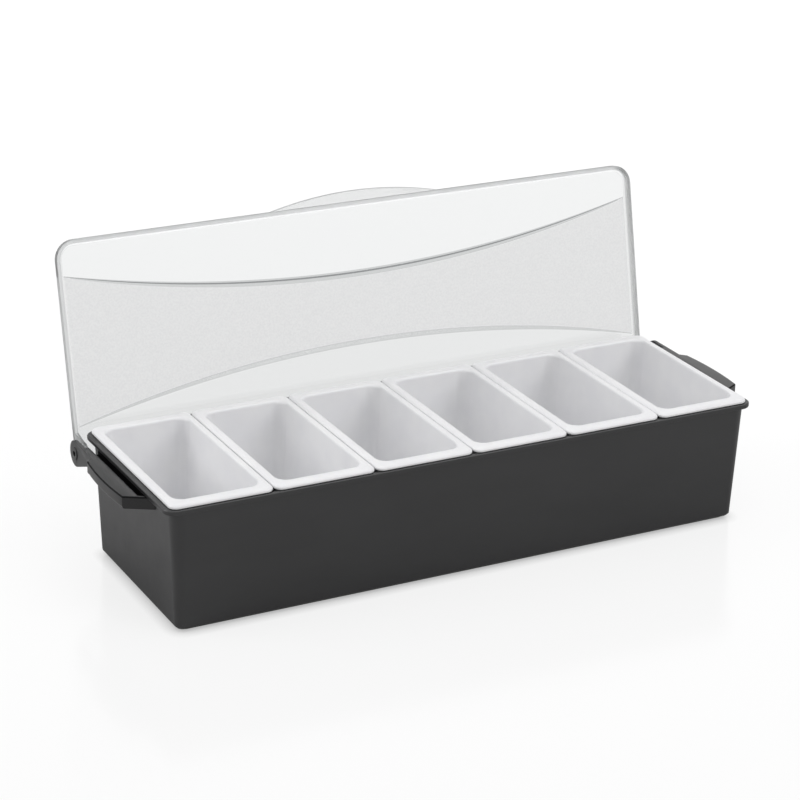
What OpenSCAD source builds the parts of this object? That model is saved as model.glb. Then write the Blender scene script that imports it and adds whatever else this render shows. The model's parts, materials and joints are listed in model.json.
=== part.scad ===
// Condiment caddy: a black moulded tray that holds six white inserts in a row,
// with a ledge handle and a hinge ear at each end and one long clear lid.
// The lid is drawn open, leaning back on the tray's rear wall, as it stands in use.
// X runs along the tray, +Y points to the hinge side and +Z points up.
// The origin is the middle of the tray's footprint, on the surface it stands on.

/* [Inserts] */
// Distance from the middle of one insert to the middle of the next
insert_pitch = 76.3; // [70:0.1:86]
// Gap between the flanges of two neighbours
flange_gap = 0.8; // [0.5:0.1:1.6]
// Flange width at the two sides of an opening
flange_side = 6.1; // [5.2:0.1:8]
// Flange width at the front and the back of an opening
flange_end = 8.6; // [6.6:0.1:12]
// Front-to-back size of an opening
opening_d = 130.8; // [110:0.2:160]
// Height of an insert from its floor to the top of its flange
insert_h = 67; // [45:0.5:78]
// Height of the flange's turned-down edge
flange_h = 3.1; // [2.6:0.1:5]
// Thickness of the flange's top and of its turned-down edge
flange_t = 1.6; // [1.2:0.1:2.2]
// Wall and floor thickness of an insert
insert_wall = 1.6; // [1.2:0.1:2.2]
// Corner radius of the flange
flange_r = 5.7; // [4:0.1:9]
// Corner radius of the opening
opening_r = 9.5; // [8:0.1:16]
// Bevel round the flange's top edge
flange_bevel = 1.5; // [0.8:0.1:2]
// Bevel round an insert's floor
floor_bevel = 4; // [2:0.1:5]
// How far an insert's walls lean in from top to floor
insert_lean = 3.3; // [2:0.1:5]

/* [Tray] */
// Height of the tray's rim above the surface it stands on
rim_z = 92.6; // [84:0.2:110]
// Height of the rim band
rim_h = 3.6; // [2.8:0.1:6]
// How far the rim stands out past the end walls
rim_end = 4.9; // [3.6:0.1:6.4]
// How far the front and rear walls stand out past the flanges
wall_out = 0.7; // [0.3:0.1:1.2]
// How far the rim stands out past the front and rear walls
rim_bead = 1; // [0.6:0.1:2]
// Corner radius of the rim
rim_r = 8.4; // [6:0.1:14]
// Thickness of the tray's walls and floor
tray_wall = 2.4; // [1.8:0.1:3.2]
// How far the tray's walls lean out from floor to rim
tray_lean = 3.7; // [2:0.1:6]
// Corner radius of the tray at its floor
tray_r = 5.4; // [4.6:0.1:12]
// Bevel round the tray's bottom edge
bottom_bevel = 2; // [1:0.1:3]
// Height of the ring that the tray stands on
ring_h = 1.5; // [1:0.1:3]
// Width of the ring that the tray stands on
ring_w = 4; // [3:0.5:8]
// Clearance between an end insert and the tray's end wall
insert_clear = 0.9; // [0.5:0.1:2]

/* [End brackets] */
// How far below the rim's top a handle ledge lies
ledge_drop = 2.9; // [2.4:0.1:9]
// Height of a bracket
bracket_h = 9.1; // [7.5:0.1:14]
// How far a handle stands out past the rim
grip_out = 16.2; // [14.6:0.2:28]
// Length of a handle's outer edge
grip_len = 64.4; // [50:0.2:80]
// How far the outer edge bows out in its middle
grip_bow = 2; // [1:0.1:4]
// Length that a bracket's front end spreads over toward the wall
splay = 13; // [8:0.5:20]
// Wall thickness of a bracket
bracket_t = 2.5; // [2:0.1:3]
// Width of the slot between a bracket's back plate and its ledge
slot_w = 5.3; // [4.6:0.1:7]

/* [Hinge] */
// How far the hinge axis lies in front of the rear wall's top
hinge_inset = 5.6; // [3:0.1:9]
// Radius of a hinge ear about the axis
ear_r = 9.5; // [8.4:0.1:12]
// Thickness of a hinge ear
ear_t = 2.9; // [2:0.1:4]
// Radius of the low boss round a pin's hole
boss_r = 4.8; // [3.4:0.1:7]
// Height of the low boss
boss_h = 0.6; // [0.3:0.1:1.2]
// How far the ledge ends in front of the ear's round end
ear_neck = 7.6; // [5:0.1:14]
// Diameter of a hinge pin
pin_d = 4; // [3:0.1:5]
// Radial clearance of a hinge pin in the lid
pin_clear = 0.05; // [0.02:0.01:0.1]
// How far a pin's end lies below the ear's outer face
pin_sink = 1.2; // [0.4:0.1:1.6]
// How far the lid's hub stands out past its side skirt
hub_out = 3; // [2:0.1:5]
// Radius of the lid's hub on a pin
hub_r = 6.6; // [5:0.1:7.8]

/* [Lid] */
// How far the open lid leans back past upright, in degrees
lid_lean = 12.6; // [6:0.2:18]
// Thickness of the lid's panel
lid_t = 2.4; // [2:0.1:3.2]
// Thickness of the lid's skirt
skirt_t = 2.3; // [1.8:0.1:3]
// Depth of the skirt at the front and the sides
skirt_d = 6.7; // [5:0.1:8]
// Clearance between the skirt and the rim
lid_clear = 0.8; // [0.5:0.1:1.6]
// Clearance between the lid's rear skirt and the rim
lid_rear_clear = 3; // [2:0.1:5]
// Corner radius of the lid's front corners
lid_r = 14.3; // [8:0.1:25]
// Length of the finger tab along the lid's front edge
tab_len = 137.4; // [80:0.2:200]
// How far the finger tab stands out
tab_out = 7.9; // [5:0.1:14]
// Middle width of the clear panel along the front edge
front_lens = 52.8; // [40:0.2:66]
// Rise of the front arc between its ends and its middle
front_rise = 27.9; // [10:0.1:34]
// Middle distance from the front edge to the rear arc
rear_lens = 105; // [88:0.2:114]
// Rise of the rear arc between its ends and its middle
rear_rise = 28.7; // [10:0.1:34]
// Depth of the frosted band between the two arcs
frost_d = 0.4; // [0.2:0.1:0.8]

/* [Hidden] */
$fn = 64;
insert_count = 6;
// Air between a piece and what it rests on
seat_gap = 0.3;
// Overshoot of a cut past the surface it opens
cut = 1;
// Slope of the bevel between an insert's walls and its floor, in degrees
bevel_angle = 45;
black = "#2b2b2d";
white = "#f2f2f3";
clear = [0.88, 0.91, 0.93, 0.35];

// Inserts
flange_w = insert_pitch - flange_gap;
flange_d = opening_d + 2 * flange_end;
opening_w = flange_w - 2 * flange_side;
insert_top = rim_z + seat_gap + flange_h;
insert_base = insert_top - insert_h;
row_l = insert_count * insert_pitch - flange_gap;

// Tray, with half sizes at the foot of its walls and under its rim
tray_top_x = row_l / 2 - flange_side + insert_wall + insert_clear + tray_wall;
tray_top_y = flange_d / 2 + wall_out;
tray_low_x = tray_top_x - tray_lean;
tray_low_y = tray_top_y - tray_lean;
rim_low = rim_z - rim_h;
rim_x = tray_top_x + rim_end;
rim_y = tray_top_y + rim_bead;
wall_foot = ring_h + bottom_bevel;
tray_slope = tray_lean / (rim_low - wall_foot);
function end_wall_x(z) = tray_low_x + tray_slope * (z - wall_foot);

// Brackets and hinge, measured outward from the middle of the tray
ledge_z = rim_z - ledge_drop;
bracket_z = ledge_z - bracket_h;
plate_x = tray_top_x + bracket_t;
ledge_x = plate_x + slot_w;
grip_x = rim_x + grip_out;
grip_end_x = grip_x - grip_bow;
bow_r = (pow(grip_len / 2, 2) + pow(grip_bow, 2)) / (2 * grip_bow);
lid_in_x = rim_x + lid_clear;
lid_x = lid_in_x + skirt_t;
hub_x = lid_x + hub_out;
ear_in_x = hub_x + seat_gap;
ear_x = ear_in_x + ear_t;
hinge_y = tray_top_y - hinge_inset;
hinge_z = ledge_z - ear_r;
ledge_end_y = hinge_y - ear_r - ear_neck;
// How far a pin's inner end stays inside the lid's hub
pin_back = 0.5;

// Lid, closed, measured from the hinge axis
// Its panel clears the top and the rear edge of the flanges as it turns
flange_edge = norm([flange_d / 2 - flange_bevel - hinge_y, insert_top - hinge_z]);
lid_under = max(insert_top - hinge_z, flange_edge) + seat_gap;
lid_top = lid_under + lid_t;
skirt_low = lid_top - skirt_d;
lid_in_front = -(rim_y + lid_clear) - hinge_y;
lid_front = lid_in_front - skirt_t;
lid_in_rear = rim_y + lid_rear_clear - hinge_y;
lid_rear = lid_in_rear + skirt_t;
// The rear skirt is as deep as it takes to land on the rear wall at the open angle
stop_reach = tray_low_y + tray_slope * (hinge_z - wall_foot - lid_rear * cos(lid_lean))
  + seat_gap - hinge_y + lid_rear * sin(lid_lean);
rear_low = stop_reach / (cos(lid_lean) + tray_slope * sin(lid_lean));
front_arc_r = (pow(lid_in_x, 2) + pow(front_rise, 2)) / (2 * front_rise);
rear_arc_r = (pow(lid_in_x, 2) + pow(rear_rise, 2)) / (2 * rear_rise);
tab_r = (pow(tab_len / 2, 2) + pow(tab_out, 2)) / (2 * tab_out);
arm_front = -(ear_r + ear_neck) / 2 - hub_r / 2;

// A block with round upright corners, x, y and r being its half sizes and corner radius.
// Its side runs through [outward, height] points, so it can lean and have bevels.
module block(x, y, r, side) {
  module prism(half, depth) {
    rotate([90, 0, 0])
      linear_extrude(2 * depth, center = true)
        polygon(concat(
          [for (p = side) [half + p[0], p[1]]],
          [for (i = [len(side) - 1:-1:0]) [-half - side[i][0], side[i][1]]]
        ));
  }
  prism(x, y - r);
  rotate([0, 0, 90])
    prism(y, x - r);
  for (sx = [-1, 1], sy = [-1, 1])
    translate([sx * (x - r), sy * (y - r), 0])
      rotate_extrude()
        polygon(concat(
          [[0, side[0][1]]],
          [for (p = side) [r + p[0], p[1]]],
          [[0, side[len(side) - 1][1]]]
        ));
}

// The tray without its rim: leaning walls on a bevelled floor, given under the rim
module tray_body() {
  block(tray_top_x, tray_top_y, tray_r + tray_lean, [
    [-tray_lean - bottom_bevel, ring_h], [-tray_lean, wall_foot],
    [0, rim_low], [0, rim_low + rim_h / 2]
  ]);
}

module tray() {
  floor_z = ring_h + tray_wall;
  ring_x = tray_low_x - 2 * bottom_bevel;
  ring_y = tray_low_y - 2 * bottom_bevel;
  ring_top = floor_z - tray_wall / 2;
  color(black)
    difference() {
      union() {
        tray_body();
        block(rim_x, rim_y, rim_r, [[0, rim_low], [0, rim_z]]);
        difference() {
          block(ring_x, ring_y, tray_r, [[0, 0], [0, ring_top]]);
          block(ring_x - ring_w, ring_y - ring_w, tray_r, [[0, -cut], [0, ring_top + cut]]);
        }
      }
      block(tray_top_x, tray_top_y, tray_r + tray_lean, [
        [tray_slope * (floor_z - rim_low) - tray_wall, floor_z],
        [-tray_wall, rim_low], [-tray_wall, rim_z + cut]
      ]);
    }
}

// The tray's end wall and what lies inside it, as one solid to cut a bracket with
module wall_side() {
  rotate([90, 0, 0])
    linear_extrude(4 * tray_top_y, center = true)
      polygon([[0, 0], [end_wall_x(0), 0], [end_wall_x(rim_z), rim_z], [0, rim_z]]);
}

// Plan of the bracket: ledge, splayed front end and the stretch that carries the ear
module bracket_plan() {
  intersection() {
    polygon([
      [tray_low_x, -grip_len / 2 - splay], [grip_end_x, -grip_len / 2], [grip_x, -grip_len / 2],
      [grip_x, grip_len / 2], [grip_end_x, grip_len / 2],
      [ear_x, grip_len / 2 + grip_end_x - ear_x], [ear_x, ledge_end_y], [tray_low_x, ledge_end_y]
    ]);
    translate([grip_x - bow_r, 0])
      circle(r = bow_r, $fn = 256);
  }
}

// Side view of a hinge ear: a round end on the axis, blended into the bracket
module ear_side() {
  root = [ledge_end_y - ear_r, bracket_z];
  away = [root[0] - hinge_y, root[1] - hinge_z];
  turn = atan2(away[1], away[0]) + acos(ear_r / norm(away));
  translate([hinge_y, hinge_z])
    circle(r = ear_r);
  polygon([
    [root[0], ledge_z], [hinge_y, ledge_z], [hinge_y, hinge_z],
    [hinge_y + ear_r * cos(turn), hinge_z + ear_r * sin(turn)], root
  ]);
}

// One bracket, drawn for the right end and mirrored for the left
module end_bracket(side) {
  finger_x = ledge_x + bracket_t;
  finger_y = grip_len / 2 - bracket_t;
  color(black)
    mirror([side < 0 ? 1 : 0, 0, 0])
      difference() {
        union() {
          translate([0, 0, bracket_z])
            linear_extrude(bracket_h)
              bracket_plan();
          translate([ear_in_x, 0, 0])
            rotate([90, 0, 90])
              linear_extrude(ear_t)
                ear_side();
          translate([ear_x, hinge_y, hinge_z])
            rotate([0, 90, 0])
              cylinder(h = boss_h, r = boss_r);
        }
        wall_side();
        // Room for the rim
        translate([0, -2 * grip_len, rim_low])
          cube([rim_x + seat_gap, 4 * grip_len, bracket_h]);
        // Slot between the back plate and the ledge
        translate([plate_x, -grip_len / 2, bracket_z + bracket_t])
          cube([slot_w, grip_len / 2 + ledge_end_y + cut, bracket_h]);
        // Finger hollow under the ledge
        translate([finger_x, -finger_y, bracket_z - cut])
          cube([grip_end_x - bracket_t - finger_x, 2 * finger_y, bracket_h - bracket_t + cut]);
        // Hole for the pin
        translate([ear_in_x - cut, hinge_y, hinge_z])
          rotate([0, 90, 0])
            cylinder(h = ear_t + boss_h + 2 * cut, r = pin_d / 2);
      }
}

module hinge_pin(side) {
  inner_end = lid_in_x + pin_back;
  color("#1c1c1e")
    mirror([side < 0 ? 1 : 0, 0, 0])
      translate([inner_end, hinge_y, hinge_z])
        rotate([0, 90, 0])
          cylinder(h = ear_x - pin_sink - inner_end, r = pin_d / 2);
}

// Outline of the lid, with round front corners
module lid_outline(x, front, rear, r) {
  translate([-x, front + r])
    square([2 * x, rear - front - r]);
  translate([-x + r, front])
    square([2 * (x - r), r]);
  for (s = [-1, 1])
    translate([s * (x - r), front + r])
      circle(r = r);
}

// The frosted band between the two clear, lens-shaped panels
module frost_outline() {
  difference() {
    translate([-lid_in_x, lid_in_front + lid_r])
      square([2 * lid_in_x, lid_in_rear - lid_in_front - lid_r]);
    translate([0, lid_front + front_lens - front_arc_r])
      circle(r = front_arc_r, $fn = 360);
    translate([0, lid_front + rear_lens + rear_arc_r])
      circle(r = rear_arc_r, $fn = 360);
  }
}

// The crescent that a finger lifts, with its straight side on the front edge
module tab_outline() {
  intersection() {
    translate([0, lid_front - tab_out + tab_r])
      circle(r = tab_r, $fn = 256);
    translate([-tab_len / 2, lid_front - tab_out])
      square([tab_len, tab_out + skirt_t]);
  }
}

// Side view of the arm that carries a hub: it hangs from the side skirt
module arm_side() {
  circle(r = hub_r);
  polygon([
    [arm_front, lid_under], [arm_front, skirt_low], [-hub_r, 0],
    [hub_r, 0], [lid_rear, rear_low], [lid_rear, lid_under]
  ]);
}

// The lid as it lies closed, with the hinge axis on the X axis
module lid_closed() {
  difference() {
    union() {
      translate([0, 0, skirt_low])
        linear_extrude(skirt_d)
          difference() {
            lid_outline(lid_x, lid_front, lid_rear, lid_r);
            lid_outline(lid_in_x, lid_in_front, lid_in_rear, lid_r - skirt_t);
          }
      translate([0, 0, lid_under])
        linear_extrude(lid_t) {
          lid_outline(lid_x, lid_front, lid_rear, lid_r);
          tab_outline();
        }
      translate([-lid_x, lid_in_rear, rear_low])
        cube([2 * lid_x, skirt_t, lid_top - rear_low]);
      for (s = [0, 1])
        mirror([s, 0, 0]) {
          translate([lid_in_x, 0, 0])
            rotate([90, 0, 90])
              linear_extrude(skirt_t)
                arm_side();
          translate([lid_in_x, 0, 0])
            rotate([0, 90, 0])
              cylinder(h = hub_x - lid_in_x, r = hub_r);
        }
    }
    translate([0, 0, lid_under - cut])
      linear_extrude(frost_d + cut)
        frost_outline();
    for (s = [-1, 1])
      translate([s * (lid_in_x + hub_x) / 2, 0, 0])
        rotate([0, 90, 0])
          cylinder(h = hub_x - lid_in_x + 2 * cut, r = pin_d / 2 + pin_clear, center = true);
  }
}

module lid() {
  color(clear)
    translate([0, hinge_y, hinge_z])
      rotate([-90 - lid_lean, 0, 0])
        lid_closed();
}

// The wide edge of an insert, turned down all round
module flange() {
  low = insert_h - flange_h;
  difference() {
    block(flange_w / 2, flange_d / 2, flange_r, [
      [0, low], [0, insert_h - flange_bevel], [-flange_bevel, insert_h]
    ]);
    block(flange_w / 2, flange_d / 2, flange_r, [
      [-flange_t, low - cut], [-flange_t, insert_h - flange_t]
    ]);
  }
}

// One insert, counted from the left end
module insert(i) {
  lean_rate = insert_lean / (insert_h - floor_bevel);
  top = insert_h - flange_t / 2;
  in_bevel = floor_bevel - insert_wall * (1 - tan(bevel_angle / 2));
  in_foot = insert_wall + in_bevel;
  in_lean = lean_rate * (insert_h - in_foot);
  color(white)
    translate([(i - (insert_count + 1) / 2) * insert_pitch, 0, insert_base])
      difference() {
        union() {
          block(opening_w / 2 + insert_wall, opening_d / 2 + insert_wall, opening_r + insert_wall, [
            [-insert_lean - floor_bevel, 0], [-insert_lean, floor_bevel],
            [lean_rate * (top - insert_h), top]
          ]);
          flange();
        }
        block(opening_w / 2, opening_d / 2, opening_r, [
          [-in_lean - in_bevel, insert_wall], [-in_lean, in_foot],
          [lean_rate * cut, insert_h + cut]
        ]);
      }
}

tray();
end_bracket(-1);  // end_bracket_left
end_bracket(1);  // end_bracket_right
hinge_pin(-1);  // hinge_pin_left
hinge_pin(1);  // hinge_pin_right
lid();
insert(1);  // insert_1
insert(2);  // insert_2
insert(3);  // insert_3
insert(4);  // insert_4
insert(5);  // insert_5
insert(6);  // insert_6
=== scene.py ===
import json
import logging
import math
from dataclasses import dataclass, field
from enum import Enum
from typing import Iterable, Optional, Sequence

import bmesh
import bpy
import numpy as np
from mathutils import Matrix, Vector


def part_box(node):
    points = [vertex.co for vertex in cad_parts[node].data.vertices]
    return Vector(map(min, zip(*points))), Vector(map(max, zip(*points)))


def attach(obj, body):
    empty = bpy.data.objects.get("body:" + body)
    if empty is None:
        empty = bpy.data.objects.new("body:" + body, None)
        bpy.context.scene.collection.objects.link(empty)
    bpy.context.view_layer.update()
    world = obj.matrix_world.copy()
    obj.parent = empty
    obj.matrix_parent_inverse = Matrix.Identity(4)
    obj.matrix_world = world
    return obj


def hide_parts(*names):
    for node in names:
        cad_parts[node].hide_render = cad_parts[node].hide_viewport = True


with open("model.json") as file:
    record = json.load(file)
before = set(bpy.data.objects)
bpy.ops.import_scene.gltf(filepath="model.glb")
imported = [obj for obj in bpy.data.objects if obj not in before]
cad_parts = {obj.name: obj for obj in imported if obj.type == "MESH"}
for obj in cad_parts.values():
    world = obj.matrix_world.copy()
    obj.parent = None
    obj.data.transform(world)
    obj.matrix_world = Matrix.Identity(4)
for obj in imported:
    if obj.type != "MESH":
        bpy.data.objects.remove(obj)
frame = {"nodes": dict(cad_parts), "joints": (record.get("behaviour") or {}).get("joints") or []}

LOG = logging.getLogger("caddy")
# One millimetre in metres
MM = 0.001
# Two places closer than this, in mm, count as the same
NEAR_MM = 0.05
# Most values of a noise texture lie in this range
NOISE_RANGE = (0.3, 0.7)
# The noise values between which a finish goes from its colour to its tint
BLEND_RANGE = (0.35, 0.65)
Point = Sequence[float]
Loop = list[tuple[float, float, float]]


class Slot(Enum):
    """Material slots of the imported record."""

    BLACK = "black_plastic"
    PIN = "pin_plastic"
    CLEAR = "clear_plastic"
    WHITE = "white_plastic"


class Cut(Enum):
    """What a boolean does with its second mesh."""

    JOIN = "UNION"
    REMOVE = "DIFFERENCE"


# Colours and nodes


def linear(code: str) -> tuple[float, float, float, float]:
    """Turns an sRGB hex colour into a linear one.

    Args:
        code: six hex digits with a leading hash sign.

    Returns:
        Linear red, green, blue and an alpha of 1.
    """
    parts = [int(code[i:i + 2], 16) / 255 for i in (1, 3, 5)]
    done = [c / 12.92 if c <= 0.04045 else ((c + 0.055) / 1.055) ** 2.4 for c in parts]
    return (done[0], done[1], done[2], 1.0)


def add(tree: bpy.types.NodeTree, kind: str, links: Optional[dict] = None, **settings) -> bpy.types.Node:
    """Adds a node with its settings, values and links.

    Args:
        tree: the node tree to add to.
        kind: the node's type name.
        links: input name or number to a value, or to the output socket that feeds it.
        **settings: properties of the node itself.

    Returns:
        The new node.
    """
    made = tree.nodes.new(kind)
    for name, value in settings.items():
        setattr(made, name, value)
    for name, value in (links or {}).items():
        if isinstance(value, bpy.types.NodeSocket):
            tree.links.new(value, made.inputs[name])
        else:
            made.inputs[name].default_value = value
    return made


@dataclass(frozen=True)
class Finish:
    """A surface finish. The sizes of its patterns are in millimetres."""

    name: str
    colour: str
    roughness: float
    tint: str = ""

    def build(self) -> bpy.types.Material:
        """Makes the material, or gives it back if it is there.

        Returns:
            The finished material.
        """
        if self.name in bpy.data.materials:
            return bpy.data.materials[self.name]
        made = bpy.data.materials.new(self.name)
        made.use_nodes = True
        tree = made.node_tree
        tree.nodes.clear()
        shader = add(tree, "ShaderNodeBsdfPrincipled", {
            "Base Color": linear(self.colour), "Roughness": self.roughness,
        })
        out = add(tree, "ShaderNodeOutputMaterial", {"Surface": shader.outputs[0]})
        self.dress(tree, shader, out)
        return made

    def dress(self, tree: bpy.types.NodeTree, shader: bpy.types.Node, out: bpy.types.Node) -> None:
        """Adds what sets this finish apart.

        Args:
            tree: the material's node tree.
            shader: its Principled shader.
            out: its output node.
        """

    def noise(self, tree: bpy.types.NodeTree, size_mm: float, detail: float = 3.0,
              stretch: Point = (1, 1, 1)) -> bpy.types.NodeSocket:
        """Noise on the piece's own coordinates.

        Args:
            tree: the node tree.
            size_mm: size of one blotch.
            detail: octaves of the noise.
            stretch: scale of the coordinates along each axis.

        Returns:
            The noise value's socket.
        """
        where = add(tree, "ShaderNodeTexCoord")
        mapped = add(tree, "ShaderNodeMapping", {"Vector": where.outputs["Object"], "Scale": stretch})
        made = add(tree, "ShaderNodeTexNoise", {
            "Vector": mapped.outputs[0], "Scale": 1 / (size_mm * MM), "Detail": detail,
        })
        return made.outputs[0]

    def vary(self, tree: bpy.types.NodeTree, shader: bpy.types.Node, value: bpy.types.NodeSocket,
             less: float, more: float) -> None:
        """Lets the roughness follow noise, most of which lies in NOISE_RANGE.

        Args:
            tree: the node tree.
            shader: the shader to feed.
            value: the noise.
            less: how far the roughness goes down.
            more: how far it goes up.
        """
        low, high = NOISE_RANGE
        made = add(tree, "ShaderNodeMapRange", {
            "Value": value, "From Min": low, "From Max": high,
            "To Min": self.roughness - less, "To Max": self.roughness + more,
        })
        tree.links.new(made.outputs[0], shader.inputs["Roughness"])

    def two_tone(self, tree: bpy.types.NodeTree, shader: bpy.types.Node,
                 value: bpy.types.NodeSocket) -> None:
        """Blends the base colour into the tint.

        Args:
            tree: the node tree.
            shader: the shader to feed.
            value: the noise that blends them.
        """
        ramp = add(tree, "ShaderNodeValToRGB", {"Fac": value})
        codes = (self.colour, self.tint or self.colour)
        for stop, place, code in zip(ramp.color_ramp.elements, BLEND_RANGE, codes):
            stop.position = place
            stop.color = linear(code)
        tree.links.new(ramp.outputs[0], shader.inputs["Base Color"])

    def bump(self, tree: bpy.types.NodeTree, shader: bpy.types.Node, height: bpy.types.NodeSocket,
             depth_mm: float) -> None:
        """Feeds a height to the shader's normal.

        Args:
            tree: the node tree.
            shader: the shader to feed.
            height: the height from 0 to 1.
            depth_mm: how far a height of 1 stands proud.
        """
        made = add(tree, "ShaderNodeBump", {"Height": height, "Distance": depth_mm * MM, "Strength": 1.0})
        tree.links.new(made.outputs[0], shader.inputs["Normal"])


@dataclass(frozen=True)
class SatinBlack(Finish):
    """Black ABS from a spark-eroded mould: a fine grain that spreads highlights."""

    name: str = "black_abs_satin"
    colour: str = "#202021"
    roughness: float = 0.36
    tint: str = "#242425"
    flow_mm: float = 28
    patch_mm: float = 17
    grain_mm: float = 0.35
    grain_deep_mm: float = 0.012
    shine: float = 0.62

    def dress(self, tree: bpy.types.NodeTree, shader: bpy.types.Node, out: bpy.types.Node) -> None:
        """Adds the mould's grain, faint flow marks and handled patches.

        Args:
            tree: the material's node tree.
            shader: its Principled shader.
            out: its output node.
        """
        self.two_tone(tree, shader, self.noise(tree, self.flow_mm, 3, (0.35, 1, 1)))
        self.vary(tree, shader, self.noise(tree, self.patch_mm, 2), less=0.02, more=0.03)
        self.bump(tree, shader, self.noise(tree, self.grain_mm, 2), self.grain_deep_mm)
        shader.inputs["Specular IOR Level"].default_value = self.shine


@dataclass(frozen=True)
class BracketBlack(SatinBlack):
    """The brackets' deeper black: the same plastic from a finer mould, so it mirrors more sharply."""

    name: str = "black_abs_fine"
    colour: str = "#101011"
    roughness: float = 0.31
    tint: str = "#141415"
    shine: float = 0.5


@dataclass(frozen=True)
class PaintedShadeBlack(SatinBlack):
    """Matt near-black, painted shade: it darkens the deep slot and a rounded line along the ledge's top edge.
    """

    name: str = "black_abs_unpolished"
    colour: str = "#070708"
    roughness: float = 0.6
    tint: str = "#09090a"
    shine: float = 0.12


@dataclass(frozen=True)
class PinBlack(SatinBlack):
    """Darker, smoother acetal of the hinge pins, worn to a slight shine."""

    name: str = "black_acetal_pin"
    colour: str = "#17171a"
    roughness: float = 0.32
    tint: str = "#1e1e21"
    grain_mm: float = 0.6
    shine: float = 0.5


@dataclass(frozen=True)
class GlossWhite(Finish):
    """White food-grade plastic: smooth, with soft highlights and faint mould waviness."""

    name: str = "white_food_plastic"
    colour: str = "#f1f1f2"
    roughness: float = 0.34
    tint: str = "#ededef"
    tone_mm: float = 22
    patch_mm: float = 16
    wave_mm: float = 12
    wave_deep_mm: float = 0.004

    def dress(self, tree: bpy.types.NodeTree, shader: bpy.types.Node, out: bpy.types.Node) -> None:
        """Adds the faint waviness and tone of a moulding.

        Args:
            tree: the material's node tree.
            shader: its Principled shader.
            out: its output node.
        """
        self.two_tone(tree, shader, self.noise(tree, self.tone_mm, 2))
        self.vary(tree, shader, self.noise(tree, self.patch_mm, 2), less=0.03, more=0.04)
        self.bump(tree, shader, self.noise(tree, self.wave_mm, 0), self.wave_deep_mm)


@dataclass(frozen=True)
class ClearPlastic(Finish):
    """Polished clear polycarbonate: thin and nearly unseen face on, grey along its edges."""

    name: str = "clear_polycarbonate"
    colour: str = "#eeefef"
    roughness: float = 0.03
    ior: float = 1.45
    wipe_mm: float = 14
    wipe_share: float = 0.3

    def dress(self, tree: bpy.types.NodeTree, shader: bpy.types.Node, out: bpy.types.Node) -> None:
        """Makes it clear and adds faint wipe marks.

        Args:
            tree: the material's node tree.
            shader: its Principled shader.
            out: its output node.
        """
        shader.inputs["Transmission Weight"].default_value = 1.0
        shader.inputs["IOR"].default_value = self.ior
        wiped = self.noise(tree, self.wipe_mm, 4, (1, 1, 0.25))
        change = self.roughness * self.wipe_share
        self.vary(tree, shader, wiped, less=change, more=change)


@dataclass(frozen=True)
class FrostedPlastic(ClearPlastic):
    """The lid's textured band: fine mould grain that scatters what is behind it."""

    name: str = "frosted_polycarbonate"
    colour: str = "#cccccd"
    roughness: float = 0.4
    tint: str = "#d7d7d7"
    grain_mm: float = 1.5
    grain_deep_mm: float = 0.05

    def dress(self, tree: bpy.types.NodeTree, shader: bpy.types.Node, out: bpy.types.Node) -> None:
        """Adds the grain on top of the clear plastic.

        Args:
            tree: the material's node tree.
            shader: its Principled shader.
            out: its output node.
        """
        super().dress(tree, shader, out)
        grain = self.noise(tree, self.grain_mm, 2)
        self.two_tone(tree, shader, grain)
        self.vary(tree, shader, grain, less=0.1, more=0.12)
        self.bump(tree, shader, grain, self.grain_deep_mm)


@dataclass(frozen=True)
class ShadedStepPlastic(ClearPlastic):
    """The small step beside the frosted band, tinted dark grey: painted shade that draws it as a dark line.
    """

    name: str = "clear_step_dark"
    colour: str = "#505253"
    roughness: float = 0.12


@dataclass(frozen=True)
class SoftShadedStepPlastic(ClearPlastic):
    """The step's rounded foot and the rear step, tinted light grey: painted shade that draws them as grey
    lines.
    """

    name: str = "clear_step_soft"
    colour: str = "#aeb0b0"
    roughness: float = 0.16


@dataclass(frozen=True)
class ShadedEdgePlastic(ClearPlastic):
    """The lid's skirt: the same plastic, tinted grey as painted shade for its darker look when seen along its
    length.
    """

    name: str = "clear_edge_grey"
    colour: str = "#babcbc"
    roughness: float = 0.45


@dataclass(frozen=True)
class ThumbPlastic(ClearPlastic):
    """The crescent on the front edge and the fillet in the skirt, slightly greyer than the panel; on the
    fillet the grey is painted shade.
    """

    name: str = "clear_thumb_edge"
    colour: str = "#dcdddd"
    roughness: float = 0.1


@dataclass(frozen=True)
class ShadedRearPlastic(ClearPlastic):
    """The clear strip by the hinge, tinted slightly grey: painted shade for the darker view through it."""

    name: str = "clear_hazed"
    colour: str = "#dddede"


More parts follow.
